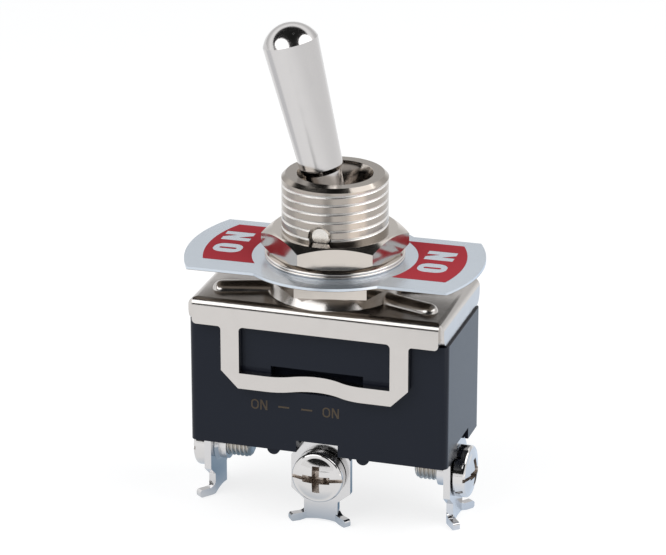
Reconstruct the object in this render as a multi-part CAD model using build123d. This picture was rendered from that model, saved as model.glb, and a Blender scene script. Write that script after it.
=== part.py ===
from build123d import *
import math
import os

# Panel toggle switch with three screw terminals, in millimetres.
# The origin is on the bushing's axis at the panel seat, the top face of the lower nut. +Z points out of the panel,
# +X along the switch's long side, and -Y is the front.

# Driving dimensions
# Bushing and its stack
bushing_r = 6.0
bushing_h = 13.65
bushing_crest = 0.43
thread_depth = 0.32
thread_start_gap = 0.2
thread_pitch = 1.0
thread_crest = 0.5
thread_groove = 0.3
bushing_bore_r = 3.3
bushing_mouth_r = 4.3
bushing_mouth_depth = 3.15
bushing_foot_bore_r = 4.7
bushing_throat_drop = 0.6
bushing_flange_r = 6.4
bushing_flange_rise = 0.3
nut_bore_gap = 0.05
nut_edge = 0.15
lower_nut_h = 2.3
lower_nut_wall = 1.0
lower_nut_turn = 12.6
upper_nut_h = 2.7
upper_nut_wall = 1.19
upper_nut_turn = 16.93
washer_wall = 1.9
washer_h = 0.66
plate_t = 0.34
plate_end_r = 16.95
plate_half_width = 8.06
plate_disc_r = 10.73
plate_turn = 1.3
boss_h = 1.2
boss_base_r = 7.6
boss_top_r = 6.9

# Bracket, a folded sheet
sheet_t = 0.9
bend_r = 0.95
bracket_x = 14.85
bracket_y = 8.08
end_flange_y = 7.6
front_flange_x = 14.31
flange_drop = 3.0
corner_r = 0.5
end_corner_r = 1.5
leg_x = 10.92
leg_fillet_r = 0.4
window_x = 8.79
window_top_drop = 2.88
window_low_drop = 8.42
bar_drop = 10.26
bar_x = 8.93
bar_chamfer_z = 2.0
crimp_half = 5.6
crimp_bow = 1.42
rib_h = 0.9
rib_half_width = 1.15
rib_outer_x = 13.1
rib_outer_y = 4.4
rib_inner_x = 3.8
rib_sink = 0.05
rib_hollow_gap = 0.6
rib_hollow_start = 6.1
rib_hollow_rise = 0.15

# Housing, a moulded cup
housing_x = 15.1
housing_top_x = 13.85
housing_y = 6.95
housing_corner_r = 0.8
housing_top_drop = 0.9
housing_ledge_drop = 3.05
housing_bottom_drop = 17.71
cavity_x = 13.2
cavity_y = 4.6
floor_drop = 15.95
pocket_x = 5.4
pocket_top_drop = 7.55
pocket_low_drop = 10.45
pocket_depth = 1.5
notch_half = 2.45
notch_h = 1.4
foot_rib_x = 5.26
foot_rib_r = 0.75
rebate_t = 0.6
rebate_x = 13.0
rebate_y = 5.7
foot_rib_inset = 0.3

# Insulating plate
insulator_gap = 0.1
insulator_sink = 0.02
insulator_slot_x = 4.9
insulator_slot_y = 2.6

# Terminals
strip_t = 0.8
end_strip_x = 14.65
centre_strip_y = 5.52
tongue_half = 2.2
tongue_end_drop = 16.9
shoulder_drop = 18.7
body_half = 3.5
body_end_drop = 22.8
neck_half = 2.0
neck_drop = 24.0
foot_top_drop = 25.65
foot_low_drop = 26.55
foot_tip_half = 3.7
foot_reach = 1.3
foot_end_r = 0.3
foot_root_r = 0.8
foot_arch_r = 9.0
foot_arch_h = 0.3
end_leg_x = 7.0
leg_half = 1.8
upright_y = 3.45
upright_t = 0.7
upright_top_drop = 12.0
upright_half = 1.5
upright_round = 0.6
collar_r = 1.95
collar_h = 1.25
collar_root = 0.35
slot_gap = 0.05
shoulder_pocket_half = 2.85
shoulder_pocket_drop = 16.6

# Terminal screws
screw_drop = 20.6
screw_head_r = 3.0
screw_head_h = 1.95
screw_rim_r = 0.55
screw_dome_h = 0.4
screw_shank_r = 1.5
screw_root_r = 1.2
screw_length = 4.9
screw_point = 0.35
screw_bore_gap = 0.03
screw_head_gap = 0.15
slot_width = 0.45
slot_depth = 0.55
cross_width = 0.82
cross_half = 1.7
cross_depth = 1.5
cross_tip = 0.5

# Lever, along its own axis from the pivot
pivot_drop = -7.91
lever_tilt = 14.2
lever_shoulder_s = 21.1
lever_shoulder_r = 3.14
lever_dome_h = 2.12
lever_rim_s = 6.15
lever_rim_r = 2.45
lever_rim_edge = 0.3
lever_waist_s = 2.2
lever_neck_r = 2.05
lever_barrel_r = 3.1
lever_barrel_half = 0.8
lever_tube_r = 2.2
lever_tube_s = -12.5
plunger_bore_r = 1.35
plunger_bore_s = -2.2
pivot_pin_r = 1.1
pivot_pin_half = 5.9
pivot_pin_gap = 0.05
pivot_pin_edge = 0.15
pin_sink_r = 1.45
pin_sink_depth = 0.35

# Contact mechanism
rocker_drop = 12.9
rocker_tilt = 8.0
rocker_pin_r = 0.7
rocker_pin_half = 3.6
rocker_pin_gap = 0.04
rocker_web_t = 0.6
rocker_half_width = 2.3
cheek_inner_y = 1.6
cheek_top_x = 2.2
cheek_side_x = 1.3
cheek_side_drop = 1.0
cheek_foot_x = 0.6
cheek_foot_drop = 1.35
cheek_lap = 0.1
arm_bend = 0.2
trough_x = 4.14
trough_low = 1.34
trough_high = 2.5
arm_top = 1.1
arm_start_x = 6.6
arm_end_x = 9.9
contact_x = 8.6
contact_r = 1.4
contact_air = 0.05
plunger_r = 1.3
plunger_tip_r = 1.1
plunger_tip_s = -18.316
plunger_top_s = -9.0
spring_wire_r = 0.2
spring_mean_r = 0.98
spring_turns = 4.5
spring_wire_sides = 5
spring_end_gap = 0.02

# Levels that follow
bracket_top = -(boss_h + lower_nut_h)
bushing_top = bracket_top + bushing_h
stack_r = bushing_r - thread_depth
plate_z = 0.0
washer_z = plate_z + plate_t
upper_nut_z = washer_z + washer_h
upper_nut_top = upper_nut_z + upper_nut_h
pivot_z = bracket_top - pivot_drop
rocker_z = bracket_top - rocker_drop
floor_z = bracket_top - floor_drop
leg_top_z = floor_z + strip_t
screw_z = bracket_top - screw_drop


def level(drop):
    """Height of a point that lies a given drop below the bracket's top face."""
    return bracket_top - drop


def block(x0, x1, y0, y1, z0, z1):
    """Box between two corners."""
    return Pos((x0 + x1) / 2, (y0 + y1) / 2, (z0 + z1) / 2) * Box(x1 - x0, y1 - y0, z1 - z0)


def rod(r, z0, z1):
    """Round bar along Z."""
    return Pos(0, 0, (z0 + z1) / 2) * Cylinder(r, z1 - z0)


def rod_y(r, x, z, y0, y1):
    """Round bar along Y."""
    return Pos(x, (y0 + y1) / 2, z) * Rot(90, 0, 0) * Cylinder(r, y1 - y0)


def prism_y(points, y0, y1):
    """Outline of (x, z) points carried along Y."""
    face = make_face(Polyline(*[(x, y0, z) for x, z in points], close=True))
    return Solid.extrude(face.face(), Vector(0, y1 - y0, 0))


def prism_z(face, z0, z1):
    """Flat outline in XY carried along Z."""
    return Solid.extrude((Pos(0, 0, z0) * face).face(), Vector(0, 0, z1 - z0))


def turned(points):
    """Solid turned about Z from an (r, z) outline."""
    face = make_face(Polyline(*[(r, 0, z) for r, z in points], close=True))
    return Solid.revolve(face.face(), 360, Axis.Z)


def one(shape):
    """The single solid of a shape."""
    solids = shape.solids()
    assert len(solids) == 1, len(solids)
    return solids[0]


# Bushing
def thread_wall(low, high):
    """Outline of the thread, drawn as plain V rings that hang down from its high end."""
    points = []
    for turn in range(int((high - low - thread_crest) / thread_pitch)):
        top = high - turn * thread_pitch - thread_crest
        foot = high - (turn + 1) * thread_pitch
        points += [(bushing_r, foot), (bushing_r - thread_groove, (top + foot) / 2), (bushing_r, top)][::-1]
    return points[::-1]


def make_bushing():
    flange_top = level(-bushing_flange_rise)
    flange_low = level(housing_top_drop)
    crest_z = upper_nut_top + thread_start_gap
    wall_top = bushing_top - bushing_crest
    body = turned([(0, flange_low), (bushing_flange_r, flange_low), (bushing_flange_r, flange_top),
                   (stack_r, flange_top), (stack_r, crest_z), (bushing_r, crest_z),
                   *thread_wall(crest_z, wall_top), (bushing_r, wall_top),
                   (bushing_r - bushing_crest, bushing_top), (0, bushing_top)])
    throat_z = pivot_z - pivot_pin_r - bushing_throat_drop
    mouth_z = bushing_top - bushing_mouth_depth
    hollow = turned([(0, flange_low), (bushing_foot_bore_r, flange_low), (bushing_bore_r, throat_z),
                     (bushing_bore_r, mouth_z), (bushing_mouth_r, bushing_top), (0, bushing_top)])
    body -= hollow
    body -= rod_y(pivot_pin_r, 0, pivot_z, -bushing_r, bushing_r)
    sink = pivot_pin_half - pin_sink_depth
    body -= rod_y(pin_sink_r, 0, pivot_z, -bushing_r - 1, -sink)
    body -= rod_y(pin_sink_r, 0, pivot_z, sink, bushing_r + 1)
    return one(body)


def make_pivot_pin():
    end = pivot_pin_half - pin_sink_depth
    pin = rod_y(pivot_pin_r, 0, pivot_z, -end, end)
    return one(chamfer(pin.edges().filter_by(GeomType.CIRCLE), pivot_pin_edge))


def hex_nut(wall, z0, z1, turn, both_ends):
    """Hexagon nut with its corners cut back by a cone on the top, or on both ends."""
    half_flats = bushing_r + wall
    corner_r = half_flats * 2 / math.sqrt(3)
    rim = corner_r + nut_edge
    low = half_flats - nut_edge
    rise = (rim - low) * math.tan(math.radians(30))
    nut = prism_z(RegularPolygon(corner_r, 6, rotation=turn), z0, z1)
    foot = [(rim, z0 + rise), (low, z0)] if both_ends else [(rim, z0)]
    nut &= turned([(0, z1), (low, z1), (rim, z1 - rise)] + foot + [(0, z0)])
    nut -= rod(stack_r + nut_bore_gap, z0 - 1, z1 + 1)
    return one(nut)


def make_label_plate():
    wings = Circle(plate_end_r) & Rectangle(2 * plate_end_r + 2, 2 * plate_half_width)
    outline = wings + Circle(plate_disc_r)
    outline = Rot(0, 0, plate_turn) * (outline - Circle(bushing_r + nut_bore_gap))
    return one(prism_z(outline, plate_z, plate_z + plate_t))


def make_lock_washer():
    return one(rod(bushing_r + washer_wall, washer_z, upper_nut_z) - rod(bushing_r + nut_bore_gap, -1, upper_nut_z + 1))


# Bracket
def bracket_rib():
    """One round-topped rib from the boss to a corner, along +X, with a ball end."""
    length = math.hypot(rib_outer_x, rib_outer_y)
    round_r = (rib_half_width ** 2 + rib_h ** 2) / (2 * rib_h)
    axis_z = bracket_top + rib_h - round_r
    end_x = length - rib_half_width
    bead = Pos(rib_inner_x, 0, axis_z) * Rot(0, 90, 0) * rod(round_r, 0, end_x - rib_inner_x)
    bead += Pos(end_x, 0, axis_z) * Sphere(round_r)
    return bead & block(0, bracket_x, -round_r, round_r, bracket_top - rib_sink, bracket_top + boss_h)


def rib_hollow():
    """The dent under a rib, left by the press."""
    length = math.hypot(rib_outer_x, rib_outer_y) - rib_half_width - rib_hollow_gap
    half = rib_half_width - rib_hollow_gap
    return block(rib_hollow_start, length, -half, half, level(sheet_t) - 1, bracket_top + rib_hollow_rise)


def bow_line(y):
    """Four equal arcs that carry a line in by the bar's bow and back out again."""
    half = crimp_half / 2
    share = crimp_bow / 2
    arc_r = (half ** 2 + share ** 2) / (2 * share)
    dip = arc_r - math.sqrt(arc_r ** 2 - (half / 2) ** 2)
    for side in (-1, 1):
        ThreePointArc((side * crimp_half, y), (side * 1.5 * half, y + dip), (side * half, y + share))
        ThreePointArc((side * half, y + share), (side * half / 2, y + crimp_bow - dip), (0, y + crimp_bow))


def bracket_side():
    """The front flange with its legs and the crimped bar, as a flat plate with a bowed bar."""
    outer = bracket_y
    inner = bracket_y - sheet_t
    low = level(bar_drop)
    chamfer_z = low + bar_chamfer_z
    flange_low = level(flange_drop)
    points = [(-front_flange_x, bracket_top), (-front_flange_x, flange_low), (-leg_x, flange_low),
              (-leg_x, chamfer_z), (-bar_x, low), (bar_x, low), (leg_x, chamfer_z), (leg_x, flange_low),
              (front_flange_x, flange_low), (front_flange_x, bracket_top)]
    side = prism_y(points, -outer, -inner)
    rounds = [e for e in side.edges().filter_by(Axis.Y)
              if abs(e.center().Z - flange_low) < 0.01]
    corner = [e for e in rounds if abs(abs(e.center().X) - front_flange_x) < 0.01]
    notch = [e for e in rounds if abs(abs(e.center().X) - leg_x) < 0.01]
    side = fillet(corner, corner_r)
    notch = [e for e in side.edges().filter_by(Axis.Y)
             if abs(abs(e.center().X) - leg_x) < 0.01 and abs(e.center().Z - flange_low) < 0.01]
    side = fillet(notch, leg_fillet_r)
    window = block(-window_x, window_x, -outer - 1, -inner + 1, level(window_low_drop), level(window_top_drop))
    window_edges = [e for e in window.edges().filter_by(Axis.Y) if e.center().Z > level(window_top_drop) - 0.01]
    side -= fillet(window_edges, corner_r)
    side -= block(-crimp_half, crimp_half, -outer - 1, -inner + 1, low - 1, level(window_low_drop))
    with BuildSketch(Plane.XY.offset(low)) as bowed:
        with BuildLine():
            bow_line(-outer)
            bow_line(-inner)
            Line((-crimp_half, -outer), (-crimp_half, -inner))
            Line((crimp_half, -outer), (crimp_half, -inner))
        make_face()
    bar = Solid.extrude(bowed.sketch.face(), Vector(0, 0, level(window_low_drop) - low))
    return side + bar


def make_bracket():
    under = level(sheet_t)
    top = block(-bracket_x, bracket_x, -bracket_y, bracket_y, under, bracket_top)
    for sx in (-1, 1):
        for sy in (-1, 1):
            x0, x1 = sorted((sx * front_flange_x, sx * (bracket_x + 1)))
            y0, y1 = sorted((sy * end_flange_y, sy * (bracket_y + 1)))
            top -= block(x0, x1, y0, y1, under - 1, bracket_top + 1)
    side = bracket_side()
    sheet = top + side + mirror(side, Plane.XZ)
    for sx in (-1, 1):
        x0, x1 = sorted((sx * (bracket_x - sheet_t), sx * bracket_x))
        flange = block(x0, x1, -end_flange_y, end_flange_y, level(flange_drop), bracket_top)
        low = [e for e in flange.edges().filter_by(Axis.X) if e.center().Z < level(flange_drop) + 0.01]
        sheet += fillet(low, end_corner_r)
    bent = block(-bracket_x, bracket_x, -bracket_y, bracket_y, level(bar_drop) - 1, bracket_top)
    sheet &= fillet(bent.faces().sort_by(Axis.Z)[-1].edges(), bend_r)
    sheet += turned([(0, under), (boss_base_r, under), (boss_base_r, bracket_top),
                     (boss_top_r, bracket_top + boss_h), (0, bracket_top + boss_h)])
    angle = math.degrees(math.atan2(rib_outer_y, rib_outer_x))
    for turn in (angle, -angle, 180 - angle, 180 + angle):
        sheet += Rot(0, 0, turn) * bracket_rib()
        sheet -= Rot(0, 0, turn) * rib_hollow()
    sheet -= rod(bushing_flange_r, under - 1, level(-bushing_flange_rise))
    sheet -= rod(stack_r, under - 1, 1)
    return one(sheet)


# Housing
def make_housing():
    top = level(housing_top_drop)
    ledge = level(housing_ledge_drop)
    low = level(housing_bottom_drop)
    floor_under = low + notch_h
    outline = RectangleRounded(2 * housing_x, 2 * housing_y, housing_corner_r)
    upper = RectangleRounded(2 * housing_top_x, 2 * housing_y, housing_corner_r)
    body = prism_z(outline, low, ledge) + prism_z(upper, ledge, top)
    body -= block(-cavity_x, cavity_x, -cavity_y, cavity_y, floor_z, top + 1)
    body -= block(-rebate_x, rebate_x, -rebate_y, rebate_y, top - rebate_t, top + 1)
    for sy in (-1, 1):
        y0, y1 = sorted((sy * (housing_y - pocket_depth), sy * (housing_y + 1)))
        body -= block(-pocket_x, pocket_x, y0, y1, level(pocket_low_drop), level(pocket_top_drop))
    # Wall notches at the bottom of the front and both ends
    body -= block(-notch_half, notch_half, -housing_y - 1, -centre_strip_y - slot_gap, low - 1, floor_under)
    for sx in (-1, 1):
        x0, x1 = sorted((sx * (end_strip_x + slot_gap), sx * (housing_x + 1)))
        body -= block(x0, x1, -notch_half, notch_half, low - 1, floor_under)
    # Half-round ribs under the floor
    for sx in (-1, 1):
        half = rod_y(foot_rib_r, sx * foot_rib_x, low, foot_rib_inset - housing_y, housing_y - foot_rib_inset)
        body += half - block(-housing_x, housing_x, -housing_y, housing_y, low + foot_rib_inset, ledge)
    # Slots for the three strips, with the wider pocket behind each shoulder
    slot_half = tongue_half + slot_gap
    strip_in = strip_t + slot_gap
    body -= block(-slot_half, slot_half, -centre_strip_y - slot_gap, -centre_strip_y + strip_in, low - 1,
                  leg_top_z + slot_gap)
    body -= block(-slot_half, slot_half, -centre_strip_y - slot_gap, 1 - cavity_y, floor_z, leg_top_z + slot_gap)
    body -= block(-shoulder_pocket_half, shoulder_pocket_half, -centre_strip_y - slot_gap, -centre_strip_y + strip_in, low - 1,
                  level(shoulder_pocket_drop))
    for sx in (-1, 1):
        x0, x1 = sorted((sx * (end_strip_x + slot_gap), sx * (end_strip_x - strip_in)))
        body -= block(x0, x1, -slot_half, slot_half, low - 1, leg_top_z + slot_gap)
        body -= block(x0, x1, -shoulder_pocket_half, shoulder_pocket_half, low - 1, level(shoulder_pocket_drop))
        x0, x1 = sorted((sx * (end_strip_x + slot_gap), sx * (cavity_x - 1)))
        body -= block(x0, x1, -slot_half, slot_half, floor_z, leg_top_z + slot_gap)
    return one(body)


def make_insulating_plate():
    top = level(housing_top_drop) - insulator_sink
    plate = block(-rebate_x + insulator_gap, rebate_x - insulator_gap, -rebate_y + insulator_gap,
                  rebate_y - insulator_gap, top - rebate_t + insulator_sink, top)
    plate -= block(-insulator_slot_x, insulator_slot_x, -insulator_slot_y, insulator_slot_y, top - 2, top + 1)
    return one(plate)


# Terminals, made standing on the YZ plane with the head side at -Y, then turned into place
def foot_ear():
    """The right-hand ear, bent towards the screw's head about an upright line, with a round root."""
    bend = math.atan2(foot_reach, foot_tip_half - neck_half)
    length = math.hypot(foot_reach, foot_tip_half - neck_half)
    low = level(foot_low_drop)
    top = level(foot_top_drop)
    dip = foot_root_r * (1 - math.sqrt(0.5))
    with BuildSketch(Plane(origin=(neck_half, strip_t, 0), x_dir=(math.cos(bend), -math.sin(bend), 0),
                           z_dir=(-math.sin(bend), -math.cos(bend), 0))) as flat:
        with BuildLine():
            Polyline((0, top + foot_root_r), (0, low), (length, low), (length, top), (foot_root_r, top))
            ThreePointArc((foot_root_r, top), (dip, top + dip), (0, top + foot_root_r))
        make_face()
        fillet(flat.vertices().sort_by(Axis.X)[-2:], foot_end_r)
    return extrude(flat.sketch, amount=strip_t)


def terminal_blade():
    """Stamped strip with its foot, outer face at y = 0 and inner face at y = strip_t."""
    left = [(-tongue_half, leg_top_z), (-tongue_half, level(tongue_end_drop)), (-body_half, level(shoulder_drop)),
            (-body_half, level(body_end_drop)), (-neck_half, level(neck_drop)), (-neck_half, level(foot_low_drop))]
    points = left + [(-x, z) for x, z in reversed(left)]
    blade = prism_y(points, 0, strip_t)
    ear = foot_ear()
    blade += ear + mirror(ear, Plane.YZ)
    blade -= rod_y(foot_arch_r, 0, level(foot_low_drop) - foot_arch_r + foot_arch_h, -strip_t, 2 * strip_t)
    collar = rod_y(collar_r, 0, screw_z, strip_t, strip_t + collar_h)
    blade += collar
    root = [e for e in blade.edges().filter_by(GeomType.CIRCLE)
            if abs(e.radius - collar_r) < 0.01 and abs(e.arc_center.Y - strip_t) < 0.01]
    blade = chamfer(root, collar_root)
    blade -= rod_y(screw_shank_r + screw_bore_gap, 0, screw_z, -strip_t, 2 * strip_t + collar_h)
    return blade


def make_terminal_end(side):
    blade = Pos(side * end_strip_x, 0, 0) * Rot(0, 0, side * 90) * terminal_blade()
    x0, x1 = sorted((side * end_leg_x, side * (end_strip_x - 0.1)))
    leg = block(x0, x1, -leg_half, leg_half, floor_z, leg_top_z)
    return one(blade + leg)


def make_terminal_centre():
    blade = Pos(0, -centre_strip_y, 0) * terminal_blade()
    leg = block(-tongue_half, tongue_half, -centre_strip_y + 0.1, upright_y, floor_z, leg_top_z)
    body = blade + leg
    top = level(upright_top_drop)
    for side in (-1, 1):
        y0, y1 = sorted((side * (upright_y - upright_t), side * upright_y))
        upright = block(-upright_half, upright_half, y0, y1, floor_z, top)
        upper = [e for e in upright.edges().filter_by(Axis.Y) if e.center().Z > top - 0.01]
        body += fillet(upper, upright_round)
    body -= rod_y(rocker_pin_r, 0, rocker_z, -upright_y - 1, upright_y + 1)
    return one(body)


def screw():
    """Screw along Y with its head face at -Y, seated on a plate whose outer face is at y = 0."""
    seat = -screw_head_gap
    face = seat - screw_head_h
    rim_y = face + screw_dome_h
    threaded = strip_t + collar_h
    edge_r = screw_head_r - screw_rim_r
    cap_r = (edge_r ** 2 + screw_dome_h ** 2) / (2 * screw_dome_h)
    mid_dip = cap_r - math.sqrt(cap_r ** 2 - (edge_r / 2) ** 2)
    # The rounded rim runs in two flats, each over half of its quarter turn
    half_rim = screw_rim_r * math.sqrt(0.5)
    rim = [(screw_head_r, rim_y + screw_rim_r), (edge_r + half_rim, rim_y + screw_rim_r - half_rim),
           (edge_r, rim_y)]
    shank = [(screw_root_r - screw_point, screw_length), (screw_root_r, screw_length - screw_point),
             (screw_root_r, threaded), (screw_shank_r, threaded), (screw_shank_r, seat), (screw_head_r, seat)]
    with BuildSketch(Plane.XY) as half_section:
        with BuildLine():
            Polyline((0, face), (0, screw_length), *shank, *rim)
            ThreePointArc((edge_r, rim_y), (edge_r / 2, face + mid_dip), (0, face))
        make_face()
    body = Solid.revolve(half_section.sketch.face(), 360, Axis.Y)
    body -= block(-screw_head_r, screw_head_r, face, face + slot_depth, -slot_width / 2, slot_width / 2)
    # Cross recess, its arms sloping in towards the bottom
    deep = face + cross_depth
    arm = [(-cross_half, face), (cross_half, face), (cross_tip, deep), (-cross_tip, deep)]
    flat = make_face(Polyline(*arm, close=True)).face()
    arm = Pos(0, 0, -cross_width / 2) * Solid.extrude(flat, Vector(0, 0, cross_width))
    return body - arm - Rot(0, 90, 0) * arm


def make_screw_end(side):
    return one(Pos(side * end_strip_x, 0, screw_z) * Rot(0, 0, side * 90) * screw())


def make_screw_centre():
    return one(Pos(0, -centre_strip_y, screw_z) * screw())


# Lever
def tilted(shape):
    """Carries a shape drawn about the pivot, along +Z, to its place on the tilted lever."""
    return Pos(0, 0, pivot_z) * Rot(0, -lever_tilt, 0) * shape


def make_lever():
    tip = lever_shoulder_s + lever_dome_h
    cap_r = (lever_shoulder_r ** 2 + lever_dome_h ** 2) / (2 * lever_dome_h)
    mid_dip = cap_r - math.sqrt(cap_r ** 2 - (lever_shoulder_r / 2) ** 2)
    with BuildSketch(Plane.XZ) as half_section:
        with BuildLine():
            Polyline((0, tip), (0, lever_tube_s), (lever_tube_r, lever_tube_s), (lever_tube_r, -lever_waist_s),
                     (lever_barrel_r, -lever_barrel_half), (lever_barrel_r, lever_barrel_half),
                     (lever_neck_r, lever_waist_s), (lever_neck_r, lever_rim_s - lever_rim_edge),
                     (lever_rim_r, lever_rim_s + lever_rim_edge), (lever_shoulder_r, lever_shoulder_s))
            ThreePointArc((lever_shoulder_r, lever_shoulder_s), (lever_shoulder_r / 2, tip - mid_dip), (0, tip))
        make_face()
    body = Solid.revolve(half_section.sketch.face(), 360, Axis.Z)
    body -= rod(plunger_bore_r, lever_tube_s - 1, plunger_bore_s)
    body -= rod_y(pivot_pin_r + pivot_pin_gap, 0, 0, -lever_barrel_r - 1, lever_barrel_r + 1)
    return one(tilted(body))


def make_plunger():
    body = rod(plunger_r, plunger_tip_s + 0.4, plunger_top_s) + Pos(0, 0, plunger_tip_s) * Sphere(plunger_tip_r)
    return one(tilted(body))


def make_plunger_spring():
    low = plunger_top_s + spring_wire_r + spring_end_gap
    high = plunger_bore_s - spring_wire_r - spring_end_gap
    path = Helix((high - low) / spring_turns, high - low, spring_mean_r)
    start = Plane(origin=path @ 0, z_dir=path % 0)
    wire = sweep(start * RegularPolygon(spring_wire_r, spring_wire_sides), path=path)
    return one(tilted(Pos(0, 0, low) * wire))


# Rocker
def rocked(shape):
    """Carries a shape drawn about the rocker pin to its place at rest."""
    return Pos(0, 0, rocker_z) * Rot(0, rocker_tilt, 0) * shape


def make_rocker():
    rise = (trough_high - trough_low) / trough_x ** 2
    xs = [-trough_x + trough_x * i / 5 for i in range(11)]
    upper = [(x, trough_low + rise * x * x) for x in xs]
    top = [(-arm_end_x, arm_top), (-arm_start_x, arm_top)] + upper + [(arm_start_x, arm_top), (arm_end_x, arm_top)]
    lower = [(x, z - rocker_web_t) for x, z in reversed(upper)]
    low = arm_top - rocker_web_t
    under = [(arm_end_x, low), (arm_start_x - arm_bend, low)] + lower + [(arm_bend - arm_start_x, low), (-arm_end_x, low)]
    web = prism_y(top + under, -rocker_half_width, rocker_half_width)
    right = [(cheek_top_x, trough_low - cheek_lap), (cheek_side_x, -cheek_side_drop),
             (cheek_foot_x, -cheek_foot_drop)]
    for side in (-1, 1):
        y0, y1 = sorted((side * cheek_inner_y, side * rocker_half_width))
        web += prism_y(right + [(-x, z) for x, z in reversed(right)], y0, y1)
    web -= rod_y(rocker_pin_r + rocker_pin_gap, 0, 0, -rocker_half_width - 1, rocker_half_width + 1)
    return one(rocked(web))


def make_rocker_pin():
    return one(rod_y(rocker_pin_r, 0, rocker_z, -rocker_pin_half, rocker_pin_half))


def make_rocker_contact(side):
    button = Pos(side * contact_x, 0, 0) * rod(contact_r, 0, arm_top - rocker_web_t)
    return one(rocked(button))


def make_fixed_contact(side):
    drop = contact_x * math.sin(math.radians(rocker_tilt)) + contact_r * math.sin(math.radians(rocker_tilt))
    height = rocker_z - drop - contact_air - leg_top_z
    low = rod(contact_r, leg_top_z, leg_top_z + height)
    return one(Pos(side * contact_x, 0, 0) * low)


nodes = {
    "housing": make_housing(),
    "bracket": make_bracket(),
    "bushing": make_bushing(),
    "pivot_pin": make_pivot_pin(),
    "upper_nut": hex_nut(upper_nut_wall, upper_nut_z, upper_nut_top, upper_nut_turn, True),
    "lower_nut": hex_nut(lower_nut_wall, plate_z - lower_nut_h, plate_z, lower_nut_turn, False),
    "label_plate": make_label_plate(),
    "lock_washer": make_lock_washer(),
    "insulating_plate": make_insulating_plate(),
    "terminal_left": make_terminal_end(-1),
    "terminal_centre": make_terminal_centre(),
    "terminal_right": make_terminal_end(1),
    "terminal_screw_left": make_screw_end(-1),
    "terminal_screw_centre": make_screw_centre(),
    "terminal_screw_right": make_screw_end(1),
    "lever": make_lever(),
    "plunger": make_plunger(),
    "plunger_spring": make_plunger_spring(),
    "rocker": make_rocker(),
    "rocker_pin": make_rocker_pin(),
    "rocker_contact_left": make_rocker_contact(-1),
    "rocker_contact_right": make_rocker_contact(1),
    "fixed_contact_left": make_fixed_contact(-1),
    "fixed_contact_right": make_fixed_contact(1),
}

os.makedirs("parts", exist_ok=True)
for name, solid in nodes.items():
    solid.label = name
    export_step(solid, f"parts/{name}.step")
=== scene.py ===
"""Looks of a panel toggle switch: metals, mouldings, threads, lettering, lights and camera.

Lengths are given in millimetres in the CAD part's frame and become metres where a mesh, lamp or
camera is made. The origin is on the bushing's axis at the panel seat, +Z points out of the panel,
+X runs along the switch's long side, and -Y is the front.
"""

import logging
import math
from dataclasses import dataclass
from enum import Enum
from typing import Dict, List, Optional, Sequence, Tuple

import bmesh
import bpy
import numpy as np
from mathutils import Matrix, Vector

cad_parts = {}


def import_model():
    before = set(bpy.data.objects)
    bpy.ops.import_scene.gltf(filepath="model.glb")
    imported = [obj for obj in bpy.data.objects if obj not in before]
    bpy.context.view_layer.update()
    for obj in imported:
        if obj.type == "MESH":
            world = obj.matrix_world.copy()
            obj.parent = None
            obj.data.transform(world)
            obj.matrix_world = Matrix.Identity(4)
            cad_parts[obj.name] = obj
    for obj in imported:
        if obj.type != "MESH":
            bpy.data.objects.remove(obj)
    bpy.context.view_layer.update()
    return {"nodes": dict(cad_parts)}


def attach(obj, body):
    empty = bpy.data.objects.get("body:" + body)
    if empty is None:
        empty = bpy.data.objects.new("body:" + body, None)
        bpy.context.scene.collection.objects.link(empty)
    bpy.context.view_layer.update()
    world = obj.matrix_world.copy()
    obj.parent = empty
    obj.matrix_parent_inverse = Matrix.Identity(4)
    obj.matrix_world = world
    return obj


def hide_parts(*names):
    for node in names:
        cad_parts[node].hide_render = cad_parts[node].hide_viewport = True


LOG = logging.getLogger("toggle_switch")

MM = 0.001

# Camera
CAMERA_AZIMUTH_DEG = 17.2
CAMERA_ELEVATION_DEG = 20.855
CAMERA_DISTANCE = 380.8 * MM
CAMERA_LENS_MM = 182.84
CAMERA_SENSOR_MM = 36.0
CAMERA_TARGET = (-0.29 * MM, 0.135 * MM, -2.453 * MM)
CAMERA_CLIP_M = (0.01, 10.0)

# Sizes of the CAD part that the added pieces follow, in millimetres
BRACKET_TOP = -3.5
BUSHING_RADIUS = 6.0
BUSHING_TOP = BRACKET_TOP + 13.65
BUSHING_CHAMFER = 0.43
PIVOT_Z = BRACKET_TOP + 7.91
PIN_RADIUS = 1.1
PLATE_TOP = 0.34
PLATE_TURN_DEG = 1.3
WASHER_HEIGHT = 0.66
UPPER_NUT_TOP = 3.7
HOUSING_FRONT = -6.95
SCREW_Z = BRACKET_TOP - 20.6
END_STRIP_X = 14.65
CENTRE_STRIP_Y = 5.52

# Floor and world
FLOOR_Z = -30.06
FLOOR_HALF = 1500.0
FLOOR_PAINT = (0.36, 0.36, 0.36)
FLOOR_ROUGHNESS = 0.9
FLOOR_GLOW = 0.76
WORLD_TINT = (0.95, 0.97, 1.0)
WORLD_LEVEL = 0.45
WHITE = (1.0, 1.0, 1.0)

# Fineness of the meshes: points round a turn, and the bend in degrees below which an edge is smooth
BUSHING_COLUMNS = 160
BUSHING_SMOOTH_DEG = 22.0
WASHER_COLUMNS = 128
WASHER_SMOOTH_DEG = 50.0
BEAD_POINTS = 9
HEAD_COLUMNS = 96
SCREW_THREAD_COLUMNS = 40
SCREW_SMOOTH_DEG = 35.0
CUTTER_COLUMNS = 64
CORNER_POINTS = 9
FIELD_POINTS = 40
TENT_SMOOTH_DEG = 60.0
WELD_M = 1e-7

# Noise behind grain and bumps: detail, and the span of its values that is spread over the roughness
NOISE_DETAIL = 3.0
NOISE_SPAN = (0.3, 0.7)

Point2 = Tuple[float, float]
Color = Tuple[float, float, float]
Outline = List[Point2]


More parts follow.
